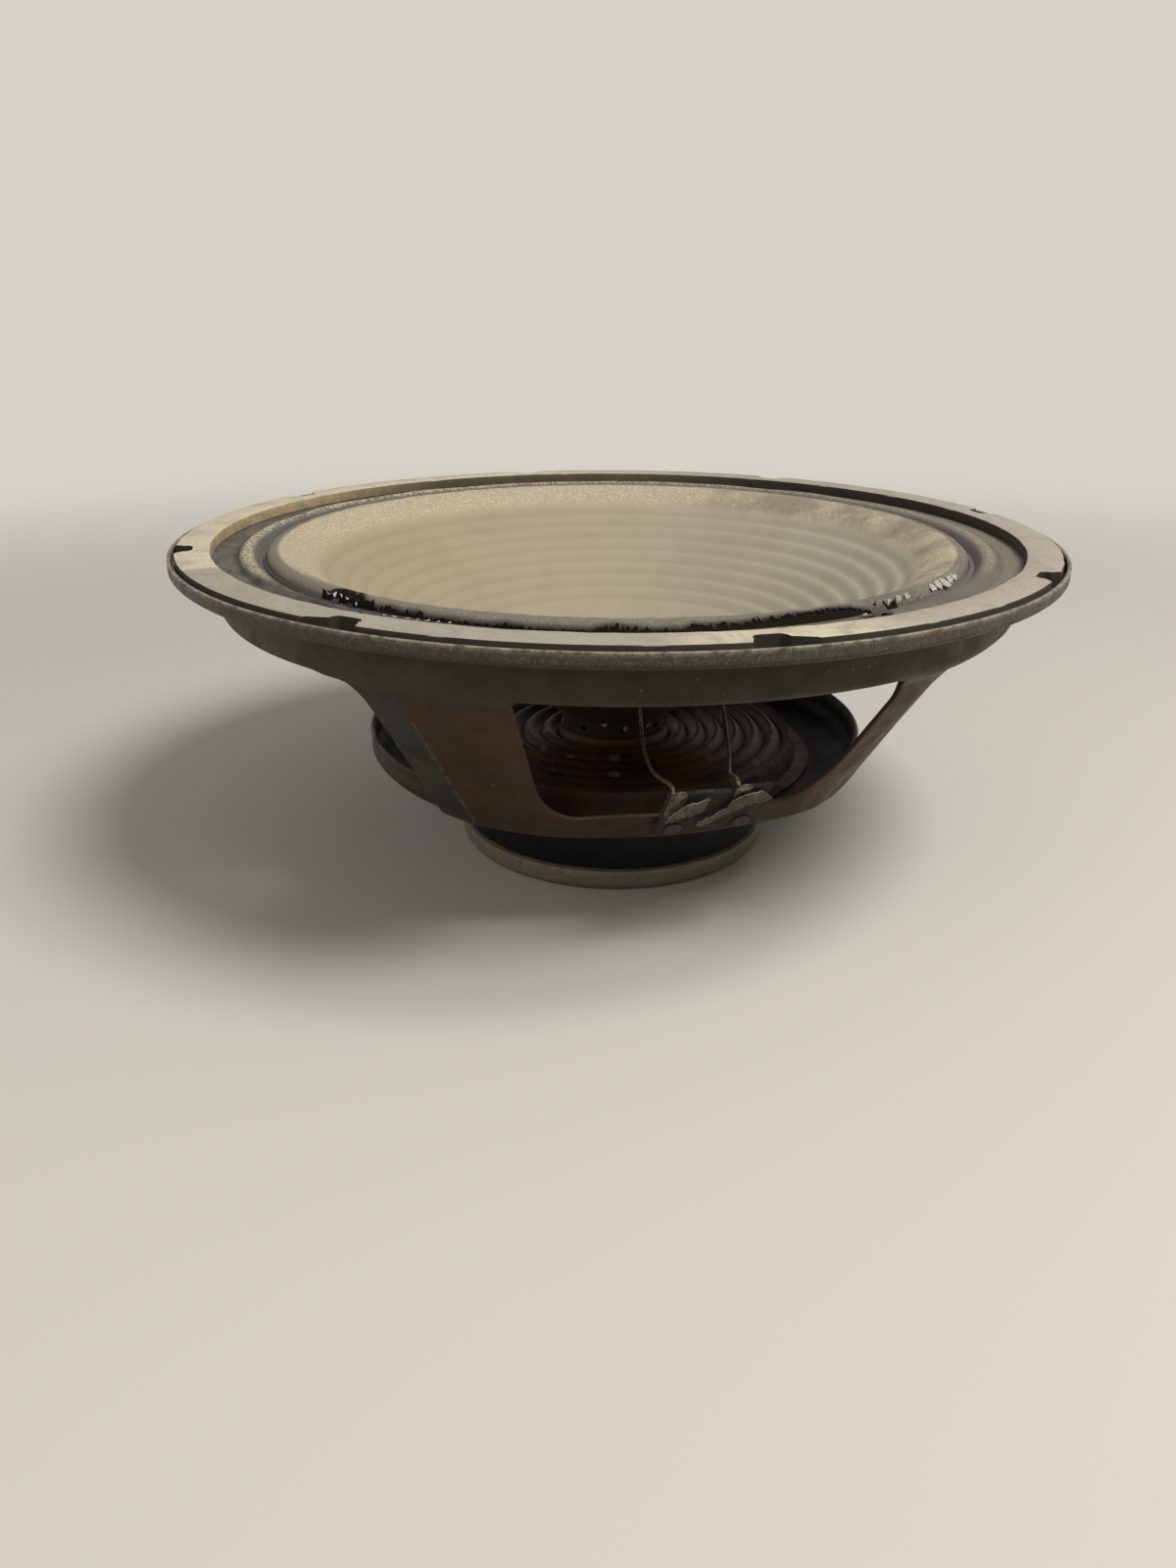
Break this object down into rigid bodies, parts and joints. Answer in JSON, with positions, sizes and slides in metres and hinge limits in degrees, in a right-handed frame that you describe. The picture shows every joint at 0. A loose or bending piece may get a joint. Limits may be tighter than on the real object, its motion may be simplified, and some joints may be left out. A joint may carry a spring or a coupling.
{
  "type": "loudspeaker driver",
  "caption": "Round cone loudspeaker driver in a pressed steel basket with windows, ferrite magnet and gasket ring, lying face up on its back plate.",
  "frame": {"origin": "on the speaker's axis at the underside of the back plate", "axes": "+Z along the axis, out of the cone's mouth; -Y towards the terminal board's side, which is the picture's front; +X to the right"},
  "size_m": [0.31, 0.31, 0.1175],
  "materials": {
    "zinc_steel": "dull plated steel, faintly rusted",
    "ferrite": "matt black ferrite",
    "bronze_lacquer": "worn bronze-brown lacquer on pressed steel",
    "gasket_card": "fibrous grey-beige card",
    "doped_cloth": "doped grey cloth, dusty",
    "cone_paper": "aged tan paper pulp",
    "cap_paper": "aged paper",
    "resin_cloth": "resin-stiffened dark red-brown cloth",
    "former_paper": "varnished paper",
    "enamelled_copper": "enamelled copper wire",
    "eyelet_brass": "dull brass",
    "fibre_board": "dark pressed fibre",
    "tinned_brass": "tinned, soldered",
    "rivet_steel": "dull steel",
    "tape_cloth": "torn grey cloth tape",
    "tinsel_braid": "tarnished copper braid"
  },
  "bodies": {
    "frame": {"basket": "bronze_lacquer", "back_plate": "zinc_steel", "magnet": "ferrite", "top_plate": "zinc_steel", "pole_piece": "zinc_steel", "floor_rivet_1": "rivet_steel", "floor_rivet_2": "rivet_steel", "floor_rivet_3": "rivet_steel", "floor_rivet_4": "rivet_steel", "gasket_1": "gasket_card", "gasket_2": "gasket_card", "gasket_3": "gasket_card", "gasket_4": "gasket_card", "surround": "doped_cloth", "spider": "resin_cloth", "terminal_board": "fibre_board", "board_rivet_left": "rivet_steel", "board_rivet_right": "rivet_steel", "lug_left": "tinned_brass", "lug_right": "tinned_brass", "tape_left": "tape_cloth", "tape_right": "tape_cloth", "lead_left": "tinsel_braid", "lead_right": "tinsel_braid"},
    "cone_assembly": {"cone": "cone_paper", "dust_cap": "cap_paper", "coil_former": "former_paper", "coil_winding": "enamelled_copper", "coil_wire_left": "enamelled_copper", "coil_wire_right": "enamelled_copper", "eyelet_left": "eyelet_brass", "eyelet_right": "eyelet_brass"}
  },
  "joints": [
    {"name": "cone_travel", "type": "slide", "parent": "frame", "child": "cone_assembly", "axis": [0, 0, 1], "range_m": [-0.003, 0.003], "stiffness_N_per_m": 6600, "deforming": ["surround", "spider", "lead_left", "lead_right"]}
  ]
}
